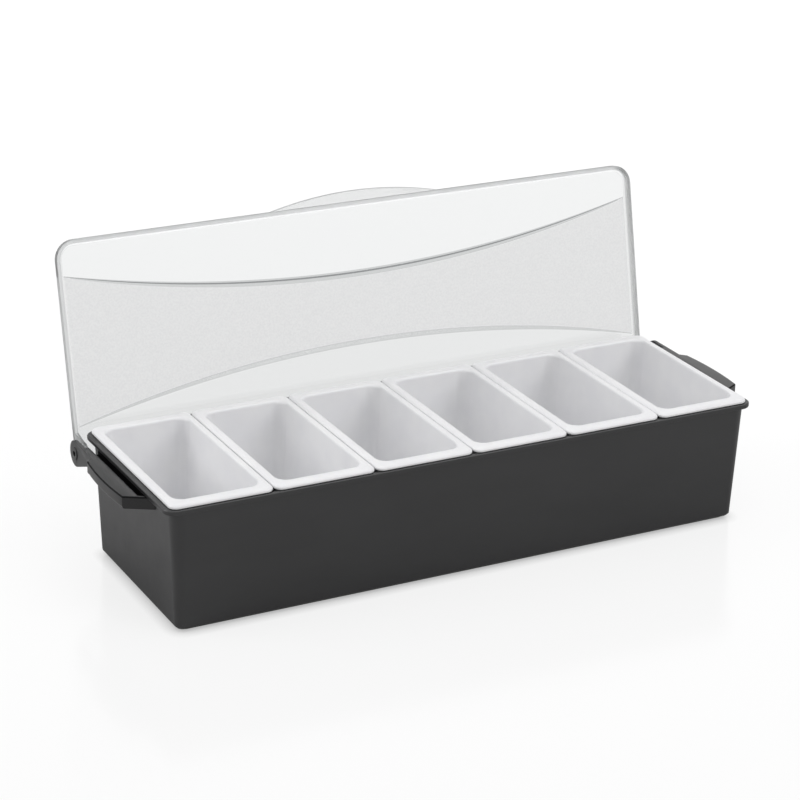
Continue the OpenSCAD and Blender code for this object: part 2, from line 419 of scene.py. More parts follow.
@dataclass(frozen=True)
class StudioFloor(Finish):
    """Seamless white studio floor with a slight sheen.

    The camera, and glass in front of it, see the floor lit up to the photograph's white. Every
    other ray meets the plain pale floor, so the black plastic mirrors it with its shadow.
    """

    name: str = "studio_floor"
    colour: str = "#6e6e6e"
    roughness: float = 0.15
    tint: str = "#d2d2d2"
    glow: float = 0.79
    shine: float = 0.15
    cloud_mm: float = 300
    # Reach and strength of the painted contact shadow
    contact_shadow_mm: float = 9.0
    contact_shadow: float = 0.5

    def dress(self, tree: bpy.types.NodeTree, shader: bpy.types.Node, out: bpy.types.Node) -> None:
        """Lifts the floor to white for the camera, keeps its shadow and paints a contact shadow along the
        line of contact.

        Args:
            tree: the material's node tree.
            shader: its Principled shader.
            out: its output node.
        """
        shader.inputs["Emission Color"].default_value = (1, 1, 1, 1)
        # Painted contact shadow: ambient occlusion dims the floor's glow near the caddy
        near = add(tree, "ShaderNodeAmbientOcclusion", {"Distance": self.contact_shadow_mm * MM}, samples=8)
        lit = add(tree, "ShaderNodeMapRange", {
            "Value": near.outputs["AO"], "To Min": self.glow * (1 - self.contact_shadow), "To Max": self.glow,
        })
        tree.links.new(lit.outputs[0], shader.inputs["Emission Strength"])
        shader.inputs["Specular IOR Level"].default_value = self.shine
        self.vary(tree, shader, self.noise(tree, self.cloud_mm, 1), less=0, more=0.02)
        plain = add(tree, "ShaderNodeBsdfDiffuse", {"Color": linear(self.tint)})
        path = add(tree, "ShaderNodeLightPath").outputs
        seen = add(tree, "ShaderNodeMath", {0: path["Is Camera Ray"], 1: path["Is Transmission Ray"]},
                   operation="MAXIMUM")
        mixed = add(tree, "ShaderNodeMixShader", {
            0: seen.outputs[0], 1: plain.outputs[0], 2: shader.outputs[0],
        })
        tree.links.new(mixed.outputs[0], out.inputs["Surface"])


# Mesh tools


def filleted(points: Sequence[Point], radii: Sequence[float], steps: int) -> list[np.ndarray]:
    """Rounds the corners of an open path and holds the straights beside each arc.

    Args:
        points: the path's corners, in any number of dimensions, in mm.
        radii: one radius for each corner, 0 for none.
        steps: segments of each arc.

    Returns:
        The points of the rounded path.
    """
    most_of_side, hold, tiny = 0.45, 0.4, 1e-6
    at = [np.array(p, float) for p in points]
    arcs: list[list[np.ndarray]] = []
    for i, here in enumerate(at):
        if radii[i] <= 0 or i in (0, len(at) - 1):
            arcs.append([here])
            continue
        u, v = at[i - 1] - here, at[i + 1] - here
        lu, lv = np.linalg.norm(u), np.linalg.norm(v)
        u, v = u / lu, v / lv
        half = math.acos(max(-1, min(1, float(u @ v)))) / 2
        reach = min(radii[i] / math.tan(half), lu * most_of_side, lv * most_of_side)
        centre = here + (u + v) / np.linalg.norm(u + v) * reach / math.cos(half)
        a, b = here + u * reach - centre, here + v * reach - centre
        turn = math.pi - 2 * half
        arcs.append([centre + (a * math.sin(turn - part) + b * math.sin(part)) / math.sin(turn)
                     for part in (turn * k / steps for k in range(steps + 1))])

    def held(end: np.ndarray, other: np.ndarray) -> list[np.ndarray]:
        """The extra point that keeps the straight beside an arc flat.

        Args:
            end: the arc's end.
            other: the straight's other end.

        Returns:
            The point in a list, which is empty where there is no straight.
        """
        length = np.linalg.norm(other - end)
        return [end + (other - end) / length * min(hold, length / 3)] if length > tiny else []

    done: list[np.ndarray] = []
    for i, arc in enumerate(arcs):
        is_arc = len(arc) > 1
        if is_arc and i:
            done += held(arc[0], arcs[i - 1][-1])
        done += arc
        if is_arc and i + 1 < len(arcs):
            done += held(arc[-1], arcs[i + 1][0])
    return done


def round_box(half_x: float, half_y: float, r: float, z: float, steps: int = 10) -> Loop:
    """A rectangle with round corners, as a loop of points.

    Beside each corner lies an extra point that keeps the side flat.

    Args:
        half_x: half its length.
        half_y: half its depth.
        r: corner radius.
        z: height.
        steps: segments of each corner.

    Returns:
        The loop, counter-clockwise from above.
    """
    least_r, hold, quarter = 0.2, 0.5, math.pi / 2
    r = max(r, least_r)
    loop: Loop = []
    for q, (sx, sy) in enumerate(((1, 1), (-1, 1), (-1, -1), (1, -1))):
        cx, cy = sx * (half_x - r), sy * (half_y - r)
        turns = [quarter * (q + k / steps) for k in range(steps + 1)]
        arc = [(cx + r * math.cos(a), cy + r * math.sin(a)) for a in turns]
        first, last = turns[0], turns[-1]
        before = (arc[0][0] + math.sin(first) * hold, arc[0][1] - math.cos(first) * hold)
        after = (arc[-1][0] - math.sin(last) * hold, arc[-1][1] + math.cos(last) * hold)
        loop += [(x, y, z) for x, y in [before, *arc, after]]
    return loop


def quarter_turn(steps: int) -> list[float]:
    """Even angles over a quarter turn.

    Args:
        steps: how many parts the turn has.

    Returns:
        The angles from 0 to 90 degrees, in radians.
    """
    return [math.pi / 2 * k / steps for k in range(steps + 1)]


def between(start: float, end: float, parts: int) -> list[float]:
    """Even steps from one value to another, without the first.

    Args:
        start: the first value.
        end: the last value.
        parts: how many steps.

    Returns:
        One value for each step.
    """
    return [start + (end - start) * k / parts for k in range(1, parts + 1)]


def lofted(name: str, loops: Sequence[Loop]) -> bpy.types.Object:
    """Skins a row of loops into one closed mesh with a cap at each end.

    Args:
        name: the object's name.
        loops: loops with the same number of points, in mm.

    Returns:
        The new object, linked to the scene.
    """
    n = len(loops[0])
    verts = [tuple(c * MM for c in p) for loop in loops for p in loop]
    faces = [
        (i * n + j, i * n + (j + 1) % n, (i + 1) * n + (j + 1) % n, (i + 1) * n + j)
        for i in range(len(loops) - 1) for j in range(n)
    ]
    faces.append(tuple(range(n - 1, -1, -1)))
    faces.append(tuple(range((len(loops) - 1) * n, len(loops) * n)))
    return meshed(name, verts, faces)


def moulded(name: str, profile: Sequence[tuple[Point, float]], steps: int) -> bpy.types.Object:
    """Carries a profile round a rectangle with round corners.

    Args:
        name: the object's name.
        profile: for each corner its half length, half depth, corner radius and height, and the radius
            of the edge there.
        steps: segments of each rounded edge.

    Returns:
        The closed object, shaded smooth.
    """
    path = filleted([at for at, _ in profile], [soft for _, soft in profile], steps)
    made = lofted(name, [round_box(*p) for p in path])
    smooth(made)
    return made


def meshed(name: str, verts: Sequence[Point], faces: Sequence[Sequence[int]]) -> bpy.types.Object:
    """Makes an object from points in metres and faces, its normals outward.

    Args:
        name: the object's name.
        verts: the points.
        faces: indices of each face.

    Returns:
        The new object, linked to the scene.
    """
    data = bpy.data.meshes.new(name)
    data.from_pydata([tuple(v) for v in verts], [], faces)
    work = bmesh.new()
    work.from_mesh(data)
    bmesh.ops.recalc_face_normals(work, faces=work.faces)
    work.to_mesh(data)
    work.free()
    made = bpy.data.objects.new(name, data)
    bpy.context.scene.collection.objects.link(made)
    return made


def baked(obj: bpy.types.Object) -> bpy.types.Object:
    """Applies an object's modifiers to its own mesh.

    Args:
        obj: the object.

    Returns:
        The same object, without modifiers.
    """
    bpy.context.view_layer.update()
    graph = bpy.context.evaluated_depsgraph_get()
    data = bpy.data.meshes.new_from_object(obj.evaluated_get(graph), depsgraph=graph)
    obj.modifiers.clear()
    old = obj.data
    obj.data = data
    bpy.data.meshes.remove(old)
    data.name = obj.name
    return obj


def drop(obj: bpy.types.Object) -> None:
    """Deletes an object and its mesh.

    Args:
        obj: the object.
    """
    data = obj.data
    bpy.data.objects.remove(obj)
    if data is not None and data.users == 0:
        bpy.data.meshes.remove(data)


def combine(base: bpy.types.Object, other: bpy.types.Object, how: Cut) -> bpy.types.Object:
    """Joins or cuts one closed mesh with another, which is then deleted.

    Args:
        base: the mesh that stays.
        other: the mesh that joins or cuts it.
        how: join or remove.

    Returns:
        The changed base object.
    """
    step = base.modifiers.new("cut", "BOOLEAN")
    step.object = other
    step.operation = how.value
    step.solver = "EXACT"
    baked(base)
    drop(other)
    return base


def smooth(obj: bpy.types.Object, degrees: float = 30, by_material: bool = False) -> None:
    """Shades smooth, with sharp edges above an angle.

    Args:
        obj: the object.
        degrees: the angle from which an edge is sharp.
        by_material: also makes edges between two materials sharp.
    """
    data = obj.data
    data.shade_smooth()
    data.set_sharp_from_angle(angle=math.radians(degrees))
    if not by_material:
        return
    work = bmesh.new()
    work.from_mesh(data)
    for edge in work.edges:
        if len({f.material_index for f in edge.link_faces}) > 1:
            edge.smooth = False
    work.to_mesh(data)
    work.free()


def settle(obj: bpy.types.Object, body: str, nodes: Iterable[str],
           finishes: Sequence[Finish]) -> bpy.types.Object:
    """Gives a finished piece its materials and body, and hides the CAD nodes that it stands for.

    Args:
        obj: the piece.
        body: the body that it moves with.
        nodes: the CAD nodes that it stands for.
        finishes: its materials, in the order of the faces' indices.

    Returns:
        The same object.
    """
    indices = np.empty(len(obj.data.polygons), dtype=np.int32)
    obj.data.polygons.foreach_get("material_index", indices)
    obj.data.materials.clear()
    for finish in finishes:
        obj.data.materials.append(finish.build())
    obj.data.polygons.foreach_set("material_index", np.minimum(indices, len(finishes) - 1))
    obj.data.update()
    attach(obj, body)
    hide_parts(*nodes)
    LOG.info("%s: %d faces, rides on %s", obj.name, len(obj.data.polygons), body)
    return obj


def disc(name: str, x0: float, x1: float, y: float, z: float, profile: Sequence[tuple[float, float]],
         steps: int = 48) -> bpy.types.Object:
    """A turned part along X.

    Args:
        name: the object's name.
        x0: where it starts.
        x1: where it ends, which may lie to the left of x0.
        y: its axis in Y.
        z: its axis in Z.
        profile: points of share of the length and radius.
        steps: segments round it.

    Returns:
        The closed object.
    """
    turns = [2 * math.pi * k / steps for k in range(steps)]
    return lofted(name, [
        [(x0 + (x1 - x0) * share, y + r * math.cos(a), z + r * math.sin(a)) for a in turns]
        for share, r in profile
    ])


# What comes from the frame


def corners(node: str) -> tuple[Vector, Vector]:
    """The box of a CAD node at rest.

    Args:
        node: the node's name.

    Returns:
        Its lowest and highest corners, in mm.
    """
    low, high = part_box(node)
    return low / MM, high / MM


def hinge() -> tuple[float, float, float]:
    """The lid's hinge.

    Returns:
        The axis's Y and Z in mm, and the turn about X that opens the shut lid, in degrees.
    """
    joint = next(j for j in frame["joints"] if j["name"] == "lid_hinge")
    _, y, z = (c / MM for c in joint["pos_m"])
    return y, z, joint["range_deg"][0]


# The caddy


@dataclass
class Tray:
    """The black tray: a leaning, round-edged trough with a thin rim and a foot ring.

    Values that end in _soft are the radii of its rounded edges, in the order of the profile. The middle
    is the flat rectangle that closes the profile's ends: its half length, half depth and corner radius.
    """

    rim_h: float = 3.6
    rim_end: float = 4.9
    rim_side: float = 1.0
    rim_r: float = 8.4
    top_r: float = 9.1
    lean: float = 3.7
    wall: float = 2.4
    ring_h: float = 1.5
    bevel: float = 2.0
    ring_w: float = 4.0
    least_r: float = 3.0
    foot_r: float = 4.0
    ring_r: float = 5.0
    middle: tuple[float, float, float] = (190.0, 40.0, 3.0)
    ring_soft: tuple[float, float, float, float] = (0.4, 0.5, 0.6, 0.3)
    foot_soft: tuple[float, float] = (0.7, 0.9)
    rim_soft: tuple[float, float, float, float] = (0.4, 0.8, 1.1, 0.9)
    floor_soft: float = 4.5
    soft_steps: int = 5
    finish: Finish = field(default_factory=SatinBlack)

    def __post_init__(self) -> None:
        """Takes the rim's outer size from the frame."""
        self.rim_x, self.rim_y, self.rim_z = corners("tray")[1]
        self.top_x, self.top_y = self.rim_x - self.rim_end, self.rim_y - self.rim_side

    def at(self, out: float, z: float, least_r: Optional[float] = None) -> tuple[float, float, float, float]:
        """A corner of the profile, measured from the walls' top.

        Args:
            out: how far outside the walls' top it lies.
            z: its height.
            least_r: least corner radius there, when it isn't the tray's own.

        Returns:
            Half length, half depth, corner radius and height.
        """
        return (self.top_x + out, self.top_y + out, max(self.top_r + out, least_r or self.least_r), z)

    def build(self) -> bpy.types.Object:
        """Lofts the tray.

        Returns:
            The tray, dressed.
        """
        low = self.rim_z - self.rim_h
        foot = self.ring_h + self.bevel
        slope = self.lean / (low - foot)
        floor = self.ring_h + self.wall
        inner = slope * (floor - low) - self.wall
        ring = -self.lean - 2 * self.bevel
        ring_in = ring - self.ring_w
        profile = [
            ((*self.middle, self.ring_h), 0),
            (self.at(ring_in, self.ring_h), self.ring_soft[0]),
            (self.at(ring_in, 0), self.ring_soft[1]),
            (self.at(ring, 0, self.ring_r), self.ring_soft[2]),
            (self.at(ring, self.ring_h, self.ring_r), self.ring_soft[3]),
            (self.at(-self.lean - self.bevel, self.ring_h, self.foot_r), self.foot_soft[0]),
            (self.at(-self.lean, foot), self.foot_soft[1]),
            (self.at(0, low), self.rim_soft[0]),
            ((self.rim_x, self.rim_y, self.rim_r, low), self.rim_soft[1]),
            ((self.rim_x, self.rim_y, self.rim_r, self.rim_z), self.rim_soft[2]),
            (self.at(-self.wall, self.rim_z), self.rim_soft[3]),
            (self.at(-self.wall, low), 0),
            (self.at(inner, floor), self.floor_soft),
            ((*self.middle, floor), 0),
        ]
        made = moulded("tray_shell", profile, self.soft_steps)
        return settle(made, "base", ["tray"], [self.finish])


@dataclass
class Inserts:
    """The row of six white inserts, each a copy of one master placed by Geometry Nodes.

    Values that end in _soft are the radii of the rounded edges, in the order of the profile. The two
    middles are the flat rectangles that close it, under the floor and on it.
    """

    flange_side: float = 6.1
    flange_end: float = 8.6
    flange_r: float = 5.7
    open_r: float = 9.5
    wall: float = 1.6
    flange_t: float = 1.6
    flange_h: float = 3.1
    edge: float = 1.5
    lean: float = 3.3
    bevel: float = 4.0
    bevel_angle: float = 45.0
    least_r: float = 2.5
    middle: tuple[float, float, float] = (18.0, 45.0, 3.0)
    middle_in: tuple[float, float, float] = (16.0, 43.0, 3.0)
    foot_soft: tuple[float, float] = (4.2, 5.0)
    neck_soft: float = 0.7
    lip_soft: tuple[float, float] = (0.4, 0.5)
    edge_soft: float = 1.6
    mouth_soft: float = 2.0
    floor_soft: tuple[float, float] = (4.6, 3.8)
    soft_steps: int = 6
    finish: Finish = field(default_factory=GlossWhite)

    def __post_init__(self) -> None:
        """Takes the row and the inserts' outer size from the frame."""
        low, high = corners("insert_1")
        self.count = sum(name.startswith("insert_") for name in frame["nodes"])
        self.pitch = corners("insert_2")[0].x - low.x
        self.flange_x, self.flange_y = (high.x - low.x) / 2, high.y
        self.open_x, self.open_y = self.flange_x - self.flange_side, self.flange_y - self.flange_end
        self.base, self.height = low.z, high.z - low.z

    def master(self) -> bpy.types.Object:
        """Lofts one insert on the middle of the row.

        Returns:
            The insert, smooth but bare.
        """
        top = self.base + self.height
        rate = self.lean / (self.height - self.bevel)
        under = top - self.flange_t
        out = self.wall - rate * self.flange_t
        bevel_in = self.bevel - self.wall * (1 - math.tan(math.radians(self.bevel_angle / 2)))
        floor = self.base + self.wall
        foot_in = floor + bevel_in
        lean_in = rate * (top - foot_in)

        def wall(off: float, z: float) -> tuple[float, float, float, float]:
            """A corner of the cup, measured from the opening.

            Args:
                off: how far outside the opening it lies.
                z: its height.

            Returns:
                Half length, half depth, corner radius and height.
            """
            return (self.open_x + off, self.open_y + off, max(self.open_r + off, self.least_r), z)

        def rim(off: float, z: float) -> tuple[float, float, float, float]:
            """A corner of the flange, measured from its outer edge.

            Args:
                off: how far inside the edge it lies.
                z: its height.

            Returns:
                Half length, half depth, corner radius and height.
            """
            return (self.flange_x - off, self.flange_y - off, max(self.flange_r - off, self.least_r), z)

        foot = self.wall - self.lean
        lip = top - self.flange_h
        return moulded("insert_master", [
            ((*self.middle, self.base), 0),
            (wall(foot - self.bevel, self.base), self.foot_soft[0]),
            (wall(foot, self.base + self.bevel), self.foot_soft[1]),
            (wall(out, under), self.neck_soft),
            (rim(self.flange_t, under), self.neck_soft),
            (rim(self.flange_t, lip), self.lip_soft[0]),
            (rim(0, lip), self.lip_soft[1]),
            (rim(0, top - self.edge), self.edge_soft),
            (rim(self.edge, top), self.edge_soft),
            (wall(0, top), self.mouth_soft),
            (wall(-lean_in, foot_in), self.floor_soft[0]),
            (wall(-lean_in - bevel_in, floor), self.floor_soft[1]),
            ((*self.middle_in, floor), 0),
        ], self.soft_steps)

    def tree(self) -> bpy.types.NodeTree:
        """Builds the node tree that puts a copy of the master at its place in the row.

        Returns:
            The geometry node tree.
        """
        group = bpy.data.node_groups.new("insert_row", "GeometryNodeTree")
        face = group.interface
        for name, kind in (("Geometry", "NodeSocketGeometry"), ("Master", "NodeSocketObject"),
                           ("Place", "NodeSocketFloat"), ("Middle", "NodeSocketFloat"),
                           ("Pitch", "NodeSocketFloat"), ("Finish", "NodeSocketMaterial")):
            face.new_socket(name, in_out="INPUT", socket_type=kind)
        face.new_socket("Geometry", in_out="OUTPUT", socket_type="NodeSocketGeometry")
        given = add(group, "NodeGroupInput").outputs
        master = add(group, "GeometryNodeObjectInfo", {"Object": given["Master"], "As Instance": True})
        steps = add(group, "ShaderNodeMath", {0: given["Place"], 1: given["Middle"]}, operation="SUBTRACT")
        along = add(group, "ShaderNodeMath", {0: steps.outputs[0], 1: given["Pitch"]}, operation="MULTIPLY")
        where = add(group, "ShaderNodeCombineXYZ", {"X": along.outputs[0]})
        dot = add(group, "GeometryNodePoints", {"Count": 1, "Position": where.outputs[0]})
        copies = add(group, "GeometryNodeInstanceOnPoints", {
            "Points": dot.outputs[0], "Instance": master.outputs["Geometry"],
        })
        real = add(group, "GeometryNodeRealizeInstances", {"Geometry": copies.outputs[0]})
        dressed = add(group, "GeometryNodeSetMaterial", {
            "Geometry": real.outputs[0], "Material": given["Finish"],
        })
        add(group, "NodeGroupOutput", {"Geometry": dressed.outputs[0]})
        return group

    def build(self) -> list[bpy.types.Object]:
        """Makes one mesh for each insert, since each one lifts out alone.

        Returns:
            The six inserts, dressed.
        """
        master, group = self.master(), self.tree()
        ids = {s.name: s.identifier for s in group.interface.items_tree if s.in_out == "INPUT"}
        made = []
        for number in range(1, self.count + 1):
            one = bpy.data.objects.new(f"insert_{number}_cup", bpy.data.meshes.new("seed"))
            bpy.context.scene.collection.objects.link(one)
            placing = one.modifiers.new("row", "NODES")
            placing.node_group = group
            for name, value in (("Master", master), ("Place", float(number)),
                                ("Middle", (self.count + 1) / 2), ("Pitch", self.pitch * MM),
                                ("Finish", self.finish.build())):
                placing[ids[name]] = value
            baked(one)
            smooth(one)
            made.append(settle(one, f"insert_{number}", [f"insert_{number}"], [self.finish]))
        drop(master)
        return made


@dataclass
class Bracket:
    """One end bracket with its handle ledge and hinge ear, all edges rounded.

    Places in X are distances from the caddy's middle, so they hold for both sides. The names say what
    lies there: wall the edges against the tray, grip the ledge's outer side, rear its rear end, slot the
    slot for the fingers, and end the front end face; the rest hold the rounded edge along the ledge's top.
    That edge and the slot are painted near-black: painted shade.
    """

    side: str
    edge: float = 0.45
    low_edge: float = 2.2
    low_z: float = 80.6
    sharp: float = 35.0
    shade: float = 32.0
    segments: int = 4
    wall_x: float = 230.2
    wall_y: float = 46.0
    wall_share: float = 0.5
    grip_x: float = 243.9
    grip_y: tuple[float, float] = (-32.0, 37.5)
    front_x: float = 226.0
    rear_y: float = 52.0
    rear_more: float = 3.0
    slot_x: tuple[float, float] = (229.8, 235.1)
    slot_y: float = -32.2
    slot_wider: float = 1.2
    slot_inset: float = 0.3
    end_x: float = 246.4
    end_slope: float = 0.569
    end_wall: float = 2.6
    end_tilt: float = -0.5
    # Width, place and tilt of the rounded edge along the ledge's top, painted near-black as painted shade
    shade_line_w: float = 1.1
    shade_line_x: float = 239.0
    shade_line_y: float = 33.0
    shade_line_tilt: tuple[float, float] = (0.15, 0.97)
    finish: Finish = field(default_factory=BracketBlack)

    def __post_init__(self) -> None:
        """Takes the bracket's top from the frame."""
        self.node = f"end_bracket_{self.side}"
        self.top = corners(self.node)[1].z

    def shift(self, vert: bmesh.types.BMVert) -> None:
        """Moves a corner that lies elsewhere in the photograph, at the slot's outer side or at its ends.

        Args:
            vert: a corner of the bare bracket, in metres.
        """
        x, y = abs(vert.co.x) / MM, vert.co.y / MM
        if abs(y - self.rear_y) < NEAR_MM:
            vert.co.y = (y + self.rear_more) * MM
        if abs(x - self.slot_x[1]) < NEAR_MM:
            x += self.slot_wider
            vert.co.x = math.copysign(x * MM, vert.co.x)
        if abs(y - self.slot_y) < NEAR_MM and x < self.end_x - self.end_wall:
            vert.co.y = (self.slot_y - (self.end_x - x) * self.end_slope + self.end_wall) * MM

    def is_painted_shade(self, face: bpy.types.MeshPolygon) -> bool:
        """Whether a face gets the painted shade: in the slot, or on the rounded line along the ledge's top.

        Args:
            face: a face of the rounded bracket.

        Returns:
            True for such a face.
        """
        x, y, z = abs(face.center.x) / MM, face.center.y / MM, face.center.z / MM
        n, near = face.normal, self.slot_inset
        across = self.slot_x[0] - near < x < self.slot_x[1] + self.slot_wider + near
        along = n.y > self.end_tilt and y < self.rear_y + self.rear_more - self.edge - NEAR_MM
        if across and along and self.low_z + self.low_edge < z < self.top - near:
            return True
        on_edge = z > self.top - self.shade_line_w - NEAR_MM and self.shade_line_tilt[0] < n.z < self.shade_line_tilt[1]
        at_end = y < self.slot_y and n.y < -self.shade_line_tilt[0]
        return on_edge and y < self.shade_line_y and (x > self.shade_line_x or at_end)

    def weight(self, edge: bmesh.types.BMEdge) -> float:
        """How round an edge is, from 0 to 1, 1 being the lower outer edge.

        Args:
            edge: an edge of the bare bracket, in metres.

        Returns:
            The share of the largest rounding.
        """
        if len(edge.link_faces) != 2 or not edge.is_convex:
            return 0.0
        if edge.calc_face_angle(0) < math.radians(self.sharp):
            return 0.0
        a, b = (v.co / MM for v in edge.verts)
        x, y = abs(a.x + b.x) / 2, (a.y + b.y) / 2
        front, rear = self.grip_y
        low = all(abs(end.z - self.low_z) < NEAR_MM for end in (a, b))
        outside = x > self.grip_x or (y < front and x > self.front_x)
        if low and outside and y < rear and abs(a.y - b.y) > abs(a.x - b.x):
            return 1.0
        high = all(abs(end.z - self.top) < NEAR_MM for end in (a, b))
        if high and x > self.shade_line_x and y < self.shade_line_y:
            return self.shade_line_w / self.low_edge
        on_wall = x < self.wall_x and abs(y) < self.wall_y
        return self.edge / self.low_edge * (self.wall_share if on_wall else 1.0)

    def build(self) -> bpy.types.Object:
        """Rounds a copy of the CAD bracket.

        Returns:
            The bracket, dressed.
        """
        merge, flat = 2e-6, math.radians(0.5)
        source = frame["nodes"][self.node]
        data = source.data.copy()
        data.transform(source.matrix_world)
        work = bmesh.new()
        work.from_mesh(data)
        bmesh.ops.remove_doubles(work, verts=work.verts, dist=merge)
        bmesh.ops.dissolve_limit(work, angle_limit=flat, verts=work.verts, edges=work.edges)
        bmesh.ops.recalc_face_normals(work, faces=work.faces)
        for vert in work.verts:
            self.shift(vert)
        layer = work.edges.layers.float.new("bevel_weight_edge")
        for edge in work.edges:
            edge[layer] = self.weight(edge)
        work.to_mesh(data)
        work.free()
        made = bpy.data.objects.new(f"{self.node}_moulding", data)
        bpy.context.scene.collection.objects.link(made)
        soft = made.modifiers.new("edges", "BEVEL")
        soft.width = self.low_edge * MM
        soft.segments = self.segments
        soft.limit_method = "WEIGHT"
        soft.use_clamp_overlap = False
        soft.miter_outer = "MITER_ARC"
        baked(made)
        # Faces in the slot and along the ledge's top edge get the near-black finish: painted shade
        for face in made.data.polygons:
            face.material_index = int(self.is_painted_shade(face))
        smooth(made, self.shade, by_material=True)
        return settle(made, "base", [self.node], [self.finish, PaintedShadeBlack()])


@dataclass
class Pin:
    """One hinge pin with a small chamfer at each end."""

    side: str
    radius: float = 2.0
    chamfer: float = 0.4
    chamfer_share: float = 0.06
    finish: Finish = field(default_factory=PinBlack)

    def build(self) -> bpy.types.Object:
        """Turns the pin.

        Returns:
            The pin, dressed.
        """
        node = f"hinge_pin_{self.side}"
        low, high = corners(node)
        y, z, _ = hinge()
        end = [(0, self.chamfer), (self.chamfer_share / 2, self.chamfer / 5), (self.chamfer_share, 0)]
        profile = [(share, self.radius - off) for share, off in end]
        profile += [(1 - share, self.radius - off) for share, off in reversed(end)]
        made = disc(f"{node}_turned", low.x, high.x, y, z, profile)
        smooth(made, 40)
        return settle(made, "base", [node], [self.finish])


class LidFace(Enum):
    """Kinds of face on the lid, each with the number of its finish."""

    CLEAR = 0
    FROSTED = 1
    STEP = 2
    EDGE = 3
    SOFT_STEP = 4
    THUMB = 5
    # The rear strip by the hinge gets a grey tint: painted shade
    HAZED = 6


